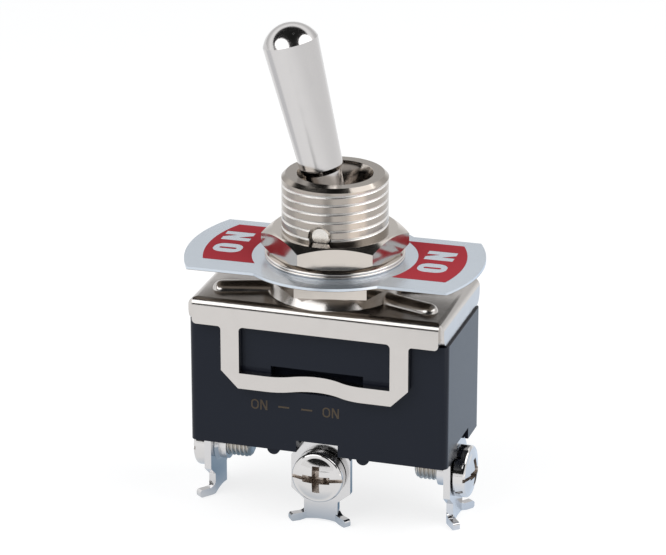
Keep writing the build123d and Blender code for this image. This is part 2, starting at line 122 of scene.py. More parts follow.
class Body(str, Enum):
    """CAD bodies that the added pieces ride on."""

    SWITCH = "switch_body"
    SCREW_LEFT = "screw_left"
    SCREW_CENTRE = "screw_centre"
    SCREW_RIGHT = "screw_right"


@dataclass(frozen=True)
class Finish:
    """One plain finish.

    Args:
        name: Material name.
        color: Linear base colour.
        metallic: 1 for a metal.
        roughness: Base roughness.
        grain: Share by which fine noise moves the roughness.
        grain_scale: Noise scale per metre.
        bump: Height of the fine bumps in metres.
        gloss: Specular level, 0.5 for an index of 1.5.
        gloss_color: Tint of the specular reflection.
        under_painted_shade: Base colour below under_z, painted as the shade under the piece, where
            one is given.
        under_z: Height in metres, in the part's frame.
    """

    name: str
    color: Color
    metallic: float
    roughness: float
    grain: float = 0.0
    grain_scale: float = 2000.0
    bump: float = 0.0
    gloss: float = 0.5
    gloss_color: Color = (1.0, 1.0, 1.0)
    under_painted_shade: Optional[Color] = None
    under_z: float = 0.0


class FinishShop:
    """Builds the materials once and hands them out by name."""

    def __init__(self) -> None:
        self._made: Dict[str, bpy.types.Material] = {}

    def get(self, finish: Finish) -> bpy.types.Material:
        """The material of a finish, made on first use.

        Args:
            finish: The finish to build.

        Returns:
            Its Blender material.
        """
        if finish.name in self._made:
            return self._made[finish.name]
        material = bpy.data.materials.new(finish.name)
        material.use_nodes = True
        tree = material.node_tree
        shader = tree.nodes["Principled BSDF"]
        shader.inputs["Base Color"].default_value = (*finish.color, 1.0)
        shader.inputs["Metallic"].default_value = finish.metallic
        shader.inputs["Roughness"].default_value = finish.roughness
        shader.inputs["Specular IOR Level"].default_value = finish.gloss
        shader.inputs["Specular Tint"].default_value = (*finish.gloss_color, 1.0)
        if finish.grain > 0.0 or finish.bump > 0.0:
            coords = tree.nodes.new("ShaderNodeTexCoord")
            noise = tree.nodes.new("ShaderNodeTexNoise")
            noise.inputs["Scale"].default_value = finish.grain_scale
            noise.inputs["Detail"].default_value = NOISE_DETAIL
            tree.links.new(coords.outputs["Object"], noise.inputs["Vector"])
            if finish.grain > 0.0:
                spread = tree.nodes.new("ShaderNodeMapRange")
                spread.inputs["From Min"].default_value = NOISE_SPAN[0]
                spread.inputs["From Max"].default_value = NOISE_SPAN[1]
                spread.inputs["To Min"].default_value = finish.roughness * (1.0 - finish.grain)
                spread.inputs["To Max"].default_value = finish.roughness * (1.0 + finish.grain)
                tree.links.new(noise.outputs["Fac"], spread.inputs["Value"])
                tree.links.new(spread.outputs["Result"], shader.inputs["Roughness"])
            if finish.bump > 0.0:
                bump = tree.nodes.new("ShaderNodeBump")
                bump.inputs["Strength"].default_value = 1.0
                bump.inputs["Distance"].default_value = finish.bump
                tree.links.new(noise.outputs["Fac"], bump.inputs["Height"])
                tree.links.new(bump.outputs["Normal"], shader.inputs["Normal"])
        # Below under_z the base colour is swapped for a painted shade colour.
        if finish.under_painted_shade is not None:
            spot = tree.nodes.new("ShaderNodeTexCoord")
            parts = tree.nodes.new("ShaderNodeSeparateXYZ")
            below = tree.nodes.new("ShaderNodeMath")
            below.operation = "LESS_THAN"
            below.inputs[1].default_value = finish.under_z
            paint = tree.nodes.new("ShaderNodeMix")
            paint.data_type = "RGBA"
            paint.inputs["A"].default_value = (*finish.color, 1.0)
            paint.inputs["B"].default_value = (*finish.under_painted_shade, 1.0)
            tree.links.new(spot.outputs["Object"], parts.inputs["Vector"])
            tree.links.new(parts.outputs["Z"], below.inputs[0])
            tree.links.new(below.outputs[0], paint.inputs["Factor"])
            tree.links.new(paint.outputs["Result"], shader.inputs["Base Color"])
        self._made[finish.name] = material
        return material


NICKEL = Finish("bright_nickel", (0.60, 0.555, 0.51), 1.0, 0.13, 0.25, 900.0)
LEVER_NICKEL = Finish("lever_nickel", (0.60, 0.585, 0.58), 1.0, 0.15, 0.2, 700.0)
SHEET_NICKEL = Finish("sheet_nickel", (0.59, 0.565, 0.545), 1.0, 0.19, 0.25, 600.0)
ZINC = Finish("bright_zinc", (0.64, 0.635, 0.64), 1.0, 0.14, 0.25, 900.0)
BEAD_NICKEL = Finish("bead_nickel", (0.74, 0.71, 0.68), 1.0, 0.12, 0.2, 900.0)
HEAD_ZINC = Finish("head_zinc", (0.65, 0.64, 0.635), 1.0, 0.09, 0.3, 1800.0)
# A darker, browner copy of the zinc in the screw heads' slot and cross: painted shade in the
# recess.
RECESS_SHADE_ZINC = Finish("recess_painted_shade_zinc", (0.44, 0.39, 0.35), 1.0, 0.3, 0.3, 1800.0)
# A darker, browner copy of the zinc for the screws' threads: painted shade on the thread.
SCREW_THREAD_SHADE_ZINC = Finish("thread_painted_shade_zinc", (0.50, 0.475, 0.44), 1.0, 0.2, 0.25, 900.0)
# A darker copy of the bushing's nickel: painted shade on the thread, its chamfer and the top ring.
THREAD_SHADE_NICKEL = Finish("thread_painted_shade_nickel", (0.38, 0.345, 0.31), 1.0, 0.16, 0.25, 900.0)
# A bright copy of the nickel for the thread's groove sides: painted highlight lines.
THREAD_GROOVE_HIGHLIGHT = Finish("thread_groove_painted_highlight", (0.90, 0.88, 0.86), 1.0, 0.3)
STEEL = Finish("ground_steel", (0.74, 0.71, 0.67), 1.0, 0.28, 0.2, 1500.0)
# The label plate's underside is painted dark brown: painted shade under the plate, which the
# bracket's top reflects.
LABEL_METAL = Finish("label_metal", (0.64, 0.70, 0.77), 0.8, 0.24, 0.1, 800.0,
                     under_painted_shade=(0.20, 0.17, 0.14), under_z=0.00004)
LABEL_RED = Finish("label_red", (0.43, 0.050, 0.062), 0.0, 0.4, gloss=0.0)
PRINT_GOLD = Finish("gold_print", (0.11, 0.085, 0.06), 0.0, 0.5, gloss=0.2)
MOULDING = Finish("black_moulding", (0.016, 0.018, 0.028), 0.0, 0.2, 0.08, 1500.0,
                  bump=0.0000008, gloss=0.19, gloss_color=(0.78, 0.89, 1.0))
FIBRE = Finish("fibre_board", (0.25, 0.14, 0.09), 0.0, 0.7)
BRASS = Finish("stamped_brass", (0.80, 0.62, 0.30), 1.0, 0.25)
SILVER = Finish("contact_silver", (0.85, 0.85, 0.83), 1.0, 0.25)
NYLON = Finish("natural_nylon", (0.80, 0.78, 0.70), 0.0, 0.45)

NODE_FINISH: Dict[str, Finish] = {
    "housing": MOULDING,
    "bracket": SHEET_NICKEL,
    "bushing": NICKEL,
    "lever": LEVER_NICKEL,
    "pivot_pin": STEEL,
    "upper_nut": NICKEL,
    "lower_nut": NICKEL,
    "lock_washer": BEAD_NICKEL,
    "label_plate": LABEL_METAL,
    "insulating_plate": FIBRE,
    "terminal_left": ZINC,
    "terminal_centre": ZINC,
    "terminal_right": ZINC,
    "terminal_screw_left": HEAD_ZINC,
    "terminal_screw_centre": HEAD_ZINC,
    "terminal_screw_right": HEAD_ZINC,
    "plunger": NYLON,
    "plunger_spring": STEEL,
    "rocker": BRASS,
    "rocker_pin": STEEL,
    "rocker_contact_left": SILVER,
    "rocker_contact_right": SILVER,
    "fixed_contact_left": SILVER,
    "fixed_contact_right": SILVER,
}


def full_turn(columns: int) -> np.ndarray:
    """Angles of evenly spaced points round one turn.

    Args:
        columns: Number of points.

    Returns:
        The angles in radians.
    """
    return np.arange(columns) * 2.0 * math.pi / columns


def linked(name: str, data: bpy.types.ID) -> bpy.types.Object:
    """A new object in the scene.

    Args:
        name: Object name.
        data: Its mesh, curve, lamp or camera.

    Returns:
        The linked object.
    """
    thing = bpy.data.objects.new(name, data)
    bpy.context.scene.collection.objects.link(thing)
    return thing


def finished_mesh(thing: bpy.types.Object) -> bpy.types.Mesh:
    """A new mesh of an object with its curve filled and its modifiers applied.

    Args:
        thing: The object.

    Returns:
        The mesh.
    """
    graph = bpy.context.evaluated_depsgraph_get()
    return bpy.data.meshes.new_from_object(thing.evaluated_get(graph))


def mesh_object(name: str, points: np.ndarray, faces: np.ndarray,
                smooth_deg: float) -> bpy.types.Object:
    """A new object from points and faces, shaded smooth below an angle.

    Args:
        name: Object name.
        points: Array of points in millimetres.
        faces: Point numbers of each face, anticlockwise from outside.
        smooth_deg: Edges that bend by less than this are shaded smooth.

    Returns:
        The linked object.
    """
    mesh = bpy.data.meshes.new(name)
    mesh.from_pydata((points * MM).tolist(), [], faces.tolist())
    mesh.validate()
    weld(mesh)
    mesh.shade_smooth()
    mesh.set_sharp_from_angle(angle=math.radians(smooth_deg))
    return linked(name, mesh)


def weld(mesh: bpy.types.Mesh) -> None:
    """Joins points that fall together and drops the faces that vanish with them.

    Args:
        mesh: The mesh to clean.
    """
    work = bmesh.new()
    work.from_mesh(mesh)
    bmesh.ops.remove_doubles(work, verts=work.verts, dist=WELD_M)
    bmesh.ops.dissolve_degenerate(work, edges=work.edges, dist=WELD_M)
    work.to_mesh(mesh)
    work.free()


def dress(thing: bpy.types.Object, finish: Finish, shop: FinishShop) -> None:
    """Gives an object one material.

    Args:
        thing: The object.
        finish: Its only finish.
        shop: Where the material comes from.
    """
    thing.data.materials.clear()
    thing.data.materials.append(shop.get(finish))


# Place in the pitch and share of the depth: a worn thread with a broad crest and a narrow groove,
# and a common thread with rounded V grooves
WORN_FORM = ((0.0, 0.0), (0.68, 0.0), (0.71, 0.2), (0.76, 0.9), (0.79, 1.0), (0.82, 0.9),
             (0.96, 0.15))
COMMON_FORM = ((0.0, 0.0), (0.16, 0.0), (0.28, 0.14), (0.54, 0.88), (0.62, 1.0), (0.70, 0.88),
               (0.90, 0.14))


@dataclass(frozen=True)
class Thread:
    """An external screw thread cut by plain limits.

    The helix is swept as rows of points that climb one pitch a turn. A point's radius is the crest
    less the depth times the share that the form gives for its place in the pitch:
    r = crest - depth * form(t), with t = z / pitch - turns, modulo 1. Rows that leave the threaded
    length stay on its end circle.

    Args:
        crest: Outer radius.
        depth: Radial depth.
        pitch: Climb a turn.
        low: Start of the threaded length.
        high: End of the threaded length.
        phase_deg: Angle where a crest passes a whole number of pitches.
        lead: Length over which the crest is cut back at the far end, at 45 degrees.
        form: Place in the pitch and share of the depth, from a crest's start.
    """

    crest: float
    depth: float
    pitch: float
    low: float
    high: float
    phase_deg: float
    lead: float
    form: Sequence[Point2]

    def radius(self, z: np.ndarray, angle: np.ndarray) -> np.ndarray:
        """Radius of the thread at a height and angle.

        Args:
            z: Heights along the axis.
            angle: Angles in radians.

        Returns:
            The radii.
        """
        turns = (angle - math.radians(self.phase_deg)) / (2.0 * math.pi)
        place = np.mod(z / self.pitch - turns, 1.0)
        spots, shares = zip(*self.form, (1.0, 0.0))
        cut = self.crest - self.depth * np.interp(place, spots, shares)
        taper = self.crest - np.clip(z - (self.high - self.lead), 0.0, None)
        return np.minimum(cut, taper)

    def rows(self, columns: int) -> Tuple[np.ndarray, int]:
        """Points of the threaded length.

        Args:
            columns: Points around one turn.

        Returns:
            The points as rows by columns by three, and the number of rows a turn climbs.
        """
        angle = full_turn(columns)
        spots = np.array([spot for spot, _ in self.form])
        first = math.floor(self.low / self.pitch) - 2
        last = math.ceil(self.high / self.pitch) + 2
        starts = (np.arange(first, last)[:, None] + spots[None, :]).ravel() * self.pitch
        shift = self.pitch * math.radians(self.phase_deg) / (2.0 * math.pi)
        height = starts[:, None] + self.pitch * angle[None, :] / (2.0 * math.pi) - shift
        height = np.clip(height, self.low, self.high)
        around = np.broadcast_to(angle, height.shape)
        radius = self.radius(height, around)
        points = np.stack([radius * np.cos(around), radius * np.sin(around), height], axis=2)
        return points, len(self.form)


def threaded_ring(name: str, before: Outline, thread: Thread, after: Outline, columns: int,
                  smooth_deg: float) -> bpy.types.Object:
    """A closed ring about Z whose outside carries a thread.

    Args:
        name: Object name.
        before: Radius and height of the plain circles that lead to the thread's low end.
        thread: The threaded length.
        after: Radius and height of the plain circles from its high end back to the first circle.
        columns: Points around one turn.
        smooth_deg: Edges that bend by less than this are shaded smooth.

    Returns:
        The object.
    """
    angle = full_turn(columns)
    circle = np.stack([np.cos(angle), np.sin(angle), np.zeros(columns)], axis=1)

    def plain(outline: Outline) -> np.ndarray:
        return np.array([circle * radius + np.array((0.0, 0.0, z)) for radius, z in outline])

    helix, climb = thread.rows(columns)
    grid = np.concatenate([plain(before), helix, plain(after)])
    rows = len(grid)
    first = len(before)
    last = first + len(helix) - 1
    number = np.arange(rows * columns).reshape(rows, columns)
    row = np.arange(rows)
    threaded = (row >= first) & (row <= last)
    partner = np.where(threaded, np.minimum(row + climb, last), row)
    beside = np.concatenate([number[:, 1:], number[partner, 0][:, None]], axis=1)
    above = np.roll(number, -1, axis=0)
    beside_above = np.roll(beside, -1, axis=0)
    faces = np.stack([number, beside, beside_above, above], axis=2).reshape(-1, 4)
    return mesh_object(name, grid.reshape(-1, 3), faces, smooth_deg)


def lathe(name: str, outline: Outline, columns: int, smooth_deg: float) -> bpy.types.Object:
    """A closed ring about Z.

    Args:
        name: Object name.
        outline: Radius and height of its circles, once round the section.
        columns: Points around one turn.
        smooth_deg: Edges that bend by less than this are shaded smooth.

    Returns:
        The object.
    """
    angle = full_turn(columns)
    radius, height = np.array(outline).T[:, :, None]
    points = np.stack([radius * np.cos(angle), radius * np.sin(angle), height + 0.0 * angle],
                      axis=2)
    number = np.arange(points.shape[0] * columns).reshape(-1, columns)
    beside, above = np.roll(number, -1, axis=1), np.roll(number, -1, axis=0)
    faces = np.stack([number, beside, np.roll(beside, -1, axis=0), above], axis=2).reshape(-1, 4)
    return mesh_object(name, points.reshape(-1, 3), faces, smooth_deg)


def cut_out(thing: bpy.types.Object, cutter: bpy.types.Object) -> None:
    """Cuts one closed mesh out of another and drops the cutter.

    Args:
        thing: The mesh that keeps its place.
        cutter: The mesh to take away.
    """
    tool = thing.modifiers.new("cut", "BOOLEAN")
    tool.operation = "DIFFERENCE"
    tool.solver = "EXACT"
    tool.object = cutter
    shaped = finished_mesh(thing)
    thing.modifiers.clear()
    thing.data = shaped
    bpy.data.objects.remove(cutter)


def rod_along_y(name: str, radius: float, y0: float, y1: float, z: float) -> bpy.types.Object:
    """A plain closed cylinder along Y.

    Args:
        name: Object name.
        radius: Radius.
        y0: Front end.
        y1: Back end.
        z: Height of its axis.

    Returns:
        The object.
    """
    columns = CUTTER_COLUMNS
    angle = full_turn(columns)
    ring = np.stack([radius * np.cos(angle), np.zeros(columns), z + radius * np.sin(angle)], axis=1)
    points = np.concatenate([ring + np.array((0.0, y0, 0.0)), ring + np.array((0.0, y1, 0.0))])
    mesh = bpy.data.meshes.new(name)
    here = np.arange(columns)
    after = np.roll(here, -1)
    sides = np.stack([here, here + columns, after + columns, after], axis=1).tolist()
    mesh.from_pydata((points * MM).tolist(), [],
                     sides + [here.tolist(), (here[::-1] + columns).tolist()])
    return linked(name, mesh)


@dataclass(frozen=True)
class Bushing:
    """The threaded bushing with its crossed pin hole, in place of the plain CAD node.

    Args:
        thread: Its outer thread.
        root: Radius of the plain neck below the thread.
        flange: Bore and outer radius of the flange.
        flange_low: Underside of the flange.
        flange_top: Top of the flange.
        edge: Small bevel at the top's edges.
        lip: Outer radius of the mouth's bevel, and the mouth's radius under it.
        mouth_depth: Depth of the conical mouth.
        bore: Radius of the bore.
        bore_low: Height where the wider bore begins.
        sink_radius: Radius of the counterbores round the pin's ends.
        sink_y: Distance of their floors from the axis.
        cutter_y: Distance that the cutters reach past the wall.
        pin_y: Distance that the pin hole's cutter reaches.
        groove_tilt: A thread face whose normal leans more than this along Z is a groove's side,
            which gets the painted highlight.
        mouth_radius: Faces nearer to the axis than this belong to the mouth.
    """

    thread: Thread = Thread(BUSHING_RADIUS, 0.12, 1.0, UPPER_NUT_TOP - 0.1,
                            BUSHING_TOP - BUSHING_CHAMFER, 142.0, 0.0, WORN_FORM)
    root: float = 5.68
    flange: Point2 = (4.7, 6.4)
    flange_low: float = BRACKET_TOP - 0.9
    flange_top: float = BRACKET_TOP + 0.3
    edge: float = 0.02
    lip: Point2 = (4.33, 4.3)
    mouth_depth: float = 3.15
    bore: float = 3.3
    bore_low: float = 2.71
    sink_radius: float = 1.33
    sink_y: float = 4.9
    cutter_y: float = 7.0
    pin_y: float = 6.0
    groove_tilt: float = 0.15
    mouth_radius: float = 4.35

    def build(self, shop: FinishShop) -> None:
        """Makes the piece and puts it on the switch body.

        Args:
            shop: Where the material comes from.
        """
        before = [(self.flange[0], self.flange_low), (self.flange[1], self.flange_low),
                  (self.flange[1], self.flange_top), (self.root, self.flange_top),
                  (self.root, self.thread.low)]
        rim = BUSHING_RADIUS - BUSHING_CHAMFER
        after = [(BUSHING_RADIUS, self.thread.high), (rim, BUSHING_TOP - self.edge),
                 (rim - self.edge, BUSHING_TOP), (self.lip[0], BUSHING_TOP),
                 (self.lip[1], BUSHING_TOP - self.edge),
                 (self.bore, BUSHING_TOP - self.mouth_depth), (self.bore, self.bore_low)]
        ring = threaded_ring("threaded_bushing", before, self.thread, after, BUSHING_COLUMNS,
                             BUSHING_SMOOTH_DEG)
        for radius, y0, y1 in ((self.sink_radius, -self.cutter_y, -self.sink_y),
                               (self.sink_radius, self.sink_y, self.cutter_y),
                               (PIN_RADIUS, -self.pin_y, self.pin_y)):
            cut_out(ring, rod_along_y("cutter", radius, y0, y1, PIVOT_Z))
        ring.data.set_sharp_from_angle(angle=math.radians(BUSHING_SMOOTH_DEG))
        dress(ring, NICKEL, shop)
        ring.data.materials.append(shop.get(THREAD_SHADE_NICKEL))
        ring.data.materials.append(shop.get(THREAD_GROOVE_HIGHLIGHT))
        # The thread, chamfer and top faces outside the mouth get the darker nickel as painted
        # shade.
        for face in ring.data.polygons:
            x, y, z = face.center / MM
            if z > self.thread.low and math.hypot(x, y) > self.mouth_radius:
                # A groove's sides get the bright nickel as painted highlight lines.
                groove = z < self.thread.high and abs(face.normal.z) > self.groove_tilt
                face.material_index = 2 if groove else 1
        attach(ring, Body.SWITCH.value)
        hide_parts("bushing")


def beaded_washer(shop: FinishShop) -> None:
    """The lock washer with two rolled beads on its rim, in place of the plain CAD node.

    Args:
        shop: Where the material comes from.
    """
    inner, outer, low = 6.1, 7.9, PLATE_TOP
    bead = WASHER_HEIGHT / 4.0
    centres = [(outer - bead, low + bead * (1 + 2 * turn)) for turn in (0, 1)]
    rim = [p for centre in centres for p in arc(bead, -90.0, 90.0, BEAD_POINTS, centre)]
    ring = lathe("beaded_washer", [(inner, low), *rim, (inner, low + WASHER_HEIGHT)],
                 WASHER_COLUMNS, WASHER_SMOOTH_DEG)
    dress(ring, BEAD_NICKEL, shop)
    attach(ring, Body.SWITCH.value)
    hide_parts("lock_washer")


def prism(name: str, section: Outline, width: float, upright: bool) -> bpy.types.Object:
    """A closed prism whose section lies in a plane through Z.

    Args:
        name: Object name.
        section: Distance from Z and height of its corners.
        width: Its width square to the section.
        upright: True for a section along Y, False for one along X.

    Returns:
        The object.
    """
    half = width / 2.0
    corners = [(across, side, z) for side in (-half, half) for across, z in section]
    if upright:
        corners = [(side, across, z) for across, side, z in corners]
    count = len(section)
    sides = [(n, (n + 1) % count, (n + 1) % count + count, n + count) for n in range(count)]
    mesh = bpy.data.meshes.new(name)
    mesh.from_pydata((np.array(corners) * MM).tolist(), [],
                     [*sides, tuple(range(count)), tuple(range(count, 2 * count))])
    work = bmesh.new()
    work.from_mesh(mesh)
    bmesh.ops.recalc_face_normals(work, faces=work.faces)
    work.to_mesh(mesh)
    work.free()
    return linked(name, mesh)


@dataclass(frozen=True)
class TerminalScrew:
    """One terminal screw with a domed head, its slot and cross, and its thread.

    The head's dome is a spherical cap: z = face + R - sqrt(R^2 - r^2), with
    R = (edge^2 + rise^2) / (2 rise). The cross narrows with depth.

    Args:
        body: The screw's CAD body.
        node: The CAD node that the screw takes the place of.
        place: Point of the axis on the strip's outer face.
        turn_deg: Turn about Z that carries the front screw's axis to this one's.
        thread: Its outer thread.
        thread_bore: Inner radius of the thread's ring.
        head_radius: Radius of the head.
        face: Height of the dome's top, below the strip's face at 0.
        rise: How much lower the dome is at its edge.
        edge: Radius of the dome's edge.
        rim_deg: Angle of the head's rounded rim.
        seat: Height of the head's seat.
        shank: Radius and height of the shank's circles.
        slot_half: Half length of the slot's cutter.
        slot_depth: Depth of the slot.
        slot_width: Width of the slot.
        cross: Half length and depth of one arm's corners, from outside the head to its floor.
        cross_width: Width of each arm.
        skin: Depth under the dome from which a face belongs to the recess, which gets the painted
            shade.
    """

    body: Body
    node: str
    place: Tuple[float, float, float]
    turn_deg: float
    thread: Thread = Thread(1.49, 0.3, 0.5, 2.06, 4.75, 0.0, 0.3, COMMON_FORM)
    thread_bore: float = 0.9
    head_radius: float = 3.0
    face: float = -2.1
    rise: float = 0.55
    edge: float = 2.6
    rim_deg: float = 60.0
    seat: float = -0.15
    shank: Tuple[Point2, ...] = ((1.5, 2.05), (1.2, 2.05), (1.2, 4.55), (0.85, 4.9), (0.01, 4.9))
    slot_half: float = 3.2
    slot_depth: float = 0.82
    slot_width: float = 0.42
    cross: Tuple[Point2, ...] = ((1.75, -0.3), (1.62, 0.2), (0.5, 1.5))
    cross_width: float = 0.86
    skin: float = 0.04

    def build(self, shop: FinishShop) -> None:
        """Makes both pieces and puts them on their screw.

        Args:
            shop: Where the materials come from.
        """
        turn = Matrix.Rotation(math.radians(self.turn_deg), 4, "Z")
        stand = Matrix.Translation(Vector(self.place) * MM) @ turn
        stand = stand @ Matrix.Rotation(math.radians(-90.0), 4, "X")
        head = self.head(shop)
        before = [(self.thread_bore, self.thread.low)]
        after = [(self.thread_bore, self.thread.high)]
        ring = threaded_ring(f"{self.body.value}_thread", before, self.thread, after,
                             SCREW_THREAD_COLUMNS, SCREW_SMOOTH_DEG)
        # The thread takes the darker zinc as painted shade.
        dress(ring, SCREW_THREAD_SHADE_ZINC, shop)
        for thing in (head, ring):
            thing.data.transform(stand)
            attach(thing, self.body.value)
        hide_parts(self.node)

    def head(self, shop: FinishShop) -> bpy.types.Object:
        """The head and shank about Z, its face down.

        Args:
            shop: Where the materials come from.

        Returns:
            The object, still at the origin.
        """
        dome = [(r, self.dome(r)) for r in np.linspace(self.shank[-1][0], self.edge, 12)]
        rim = self.head_radius - self.edge
        corner_z = self.face + self.rise + rim * math.sin(math.radians(self.rim_deg))
        corner = arc(rim, -self.rim_deg, 0.0, 7, (self.edge, corner_z))
        under = [(self.head_radius, self.seat), (self.shank[0][0], self.seat)]
        thing = lathe(f"{self.body.value}_head", [*dome, *corner, *under, *self.shank],
                      HEAD_COLUMNS, SCREW_SMOOTH_DEG)
        half = [(across, self.face + depth) for across, depth in self.cross]
        mirror = [(-across, z) for across, z in reversed(half)]
        arm = mirror[-1:] + half + mirror[:-1]
        above = half[0][1]
        slot_floor = self.face + self.slot_depth
        slot = [(-self.slot_half, above), (self.slot_half, above), (self.slot_half, slot_floor),
                (-self.slot_half, slot_floor)]
        cut_out(thing, prism("cutter", slot, self.slot_width, False))
        cut_out(thing, prism("cutter", arm, self.cross_width, False))
        cut_out(thing, prism("cutter", arm, self.cross_width, True))
        thing.data.set_sharp_from_angle(angle=math.radians(SCREW_SMOOTH_DEG))
        dress(thing, HEAD_ZINC, shop)
        thing.data.materials.append(shop.get(RECESS_SHADE_ZINC))
        # Faces inside the slot and cross get the darker zinc as painted shade.
        for face in thing.data.polygons:
            x, y, z = face.center / MM
            out = math.hypot(x, y)
            inside = out < self.edge and self.dome(out) + self.skin < z < self.seat
            face.material_index = 1 if inside else 0
        return thing

    def dome(self, out: float) -> float:
        """Height of the dome.

        Args:
            out: Distance from the axis.

        Returns:
            The height.
        """
        cap = (self.edge ** 2 + self.rise ** 2) / (2.0 * self.rise)
        return self.face + cap - math.sqrt(cap * cap - out * out)


def arc(radius: float, start_deg: float, end_deg: float, count: int,
        centre: Point2 = (0.0, 0.0)) -> Outline:
    """Points on an arc.

    Args:
        radius: Its radius.
        start_deg: First angle.
        end_deg: Last angle.
        count: Number of points.
        centre: Its centre.

    Returns:
        The points.
    """
    angles = np.radians(np.linspace(start_deg, end_deg, count))
    return [(centre[0] + radius * math.cos(a), centre[1] + radius * math.sin(a)) for a in angles]


def stadium(width: float, height: float, radius: float, centre: Point2) -> Outline:
    """A rounded upright box.

    Args:
        width: Its width.
        height: Its height.
        radius: Corner radius.
        centre: Its centre.

    Returns:
        The points, anticlockwise.
    """
    dx = width / 2.0 - radius
    dy = height / 2.0 - radius
    corners = ((dx, dy, 0.0), (-dx, dy, 90.0), (-dx, -dy, 180.0), (dx, -dy, 270.0))
    return [p for x, y, a in corners
            for p in arc(radius, a, a + 90.0, CORNER_POINTS, (centre[0] + x, centre[1] + y))]


def letter_o(left: float, width: float, height: float, stroke: float,
             round_share: float) -> List[Outline]:
    """Outlines of an O on the line, its outer edge and its counter.

    Args:
        left: Left edge.
        width: Width.
        height: Cap height.
        stroke: Stroke width.
        round_share: Corner radius as a share of the half width.

    Returns:
        Both outlines.
    """
    centre = (left + width / 2.0, height / 2.0)
    inner_width = width - 2.0 * stroke
    inner_height = height - 2.0 * min(stroke, 0.2 * height)
    return [stadium(width, height, round_share * width / 2.0, centre),
            stadium(inner_width, inner_height, 0.98 * inner_width / 2.0, centre)]


def letter_n(left: float, width: float, height: float, stem: float, band: float) -> List[Outline]:
    """Outline of an N on the line.

    Args:
        left: Left edge.
        width: Width.
        height: Cap height.
        stem: Width of each upright.
        band: Level width of the diagonal.

    Returns:
        Its one outline.
    """
    right = left + width
    run = width - band
    low = height * (1.0 - stem / run)
    return [[(left, 0.0), (left + stem, 0.0), (left + stem, low), (right - band, 0.0), (right, 0.0),
             (right, height), (right - stem, height), (right - stem, height - low),
             (left + band, height), (left, height)]]


@dataclass(frozen=True)
class Lettering:
    """Sizes of the word ON.

    Args:
        cap: Cap height.
        o_width: Width of the O.
        o_stroke: Its stroke.
        o_round: Its corner radius as a share of the half width.
        n_shift: Distance from the O's left edge to the N's.
        n_width: Width of the N.
        n_stem: Width of its uprights.
        n_band: Level width of its diagonal.
    """

    cap: float
    o_width: float
    o_stroke: float
    o_round: float
    n_shift: float
    n_width: float
    n_stem: float
    n_band: float

    def word(self, left: float) -> List[Outline]:
        """Outlines of the word.

        Args:
            left: Left edge of the O.

        Returns:
            The outlines.
        """
        return (letter_o(left, self.o_width, self.cap, self.o_stroke, self.o_round)
                + letter_n(left + self.n_shift, self.n_width, self.cap, self.n_stem, self.n_band))


LABEL_LETTERS = Lettering(3.35, 2.8, 1.2, 0.85, 3.9, 2.8, 1.05, 1.0)
PRINT_LETTERS = Lettering(1.2, 0.9, 0.17, 0.95, 1.08, 0.84, 0.17, 0.22)

# The housing's print: left edges of its words and dashes, a dash's size, and the line's height
PRINT_WORDS = (-7.75, 0.68)
PRINT_DASHES = (-4.55, -1.83)
DASH_LENGTH = 1.3
DASH_SPAN = (0.5, 0.7)
PRINT_LINE_Z = -16.5
PRINT_STANDOFF = 0.002
PRINT_THICKNESS = 0.01


def flat_piece(name: str, outlines: Sequence[Outline], thickness: float,
               place: Matrix) -> bpy.types.Object:
    """A thin flat piece filled between its outlines.

    Args:
        name: Object name.
        outlines: Closed outlines. One inside another is a hole.
        thickness: How far it stands off its surface.
        place: Carries the outlines' plane to its surface.

    Returns:
        The mesh object.
    """
    curve = bpy.data.curves.new(name, "CURVE")
    curve.dimensions = "2D"
    curve.fill_mode = "BOTH"
    curve.extrude = thickness * MM / 2.0
    for outline in outlines:
        spline = curve.splines.new("POLY")
        spline.points.add(len(outline) - 1)
        for spot, (x, y) in zip(spline.points, outline):
            spot.co = (x * MM, y * MM, 0.0, 1.0)
        spline.use_cyclic_u = True
    holder = linked(name, curve)
    mesh = finished_mesh(holder)
    bpy.data.objects.remove(holder)
    mesh.transform(place @ Matrix.Translation((0.0, 0.0, thickness * MM / 2.0)))
    weld(mesh)
    return linked(name, mesh)


@dataclass(frozen=True)
class LabelField:
    """A red field of the label plate, with its word left open as bare metal.

    Args:
        side: -1 for the left field, 1 for the right one.
        foot_x: Place of the word's foot line along X.
        low: Front end of the field along Y.
        high: Back end of the field along Y.
        inner_radius: Radius of its inner edge.
        outer_radius: Radius of its outer edge.
        word_low: Where the word begins along Y.
        standoff: Gap to the plate.
        thickness: Thickness of the paint.
    """

    side: int
    foot_x: float
    low: float = -5.0
    high: float = 6.6
    inner_radius: float = 9.35
    outer_radius: float = 14.85
    word_low: float = -2.45
    standoff: float = 0.004
    thickness: float = 0.012

    def build(self, shop: FinishShop) -> None:
        """Makes the field and puts it on the switch body.

        Args:
            shop: Where the material comes from.
        """
        ends = (self.low, self.high)
        outer = [math.degrees(math.asin(y / self.outer_radius)) for y in ends]
        inner = [math.degrees(math.asin(y / self.inner_radius)) for y in ends]
        edge = (arc(self.outer_radius, outer[0], outer[1], FIELD_POINTS)
                + arc(self.inner_radius, inner[1], inner[0], FIELD_POINTS))
        edge = [(self.side * x, y) for x, y in edge]
        letters = LABEL_LETTERS.word(self.word_low)
        word = [[(self.foot_x - y, x) for x, y in letter] for letter in letters]
        place = (Matrix.Rotation(math.radians(PLATE_TURN_DEG), 4, "Z")
                 @ Matrix.Translation((0.0, 0.0, (PLATE_TOP + self.standoff) * MM)))
        name = "label_field_left" if self.side < 0 else "label_field_right"
        thing = flat_piece(name, [edge] + word, self.thickness, place)
        dress(thing, LABEL_RED, shop)
        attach(thing, Body.SWITCH.value)


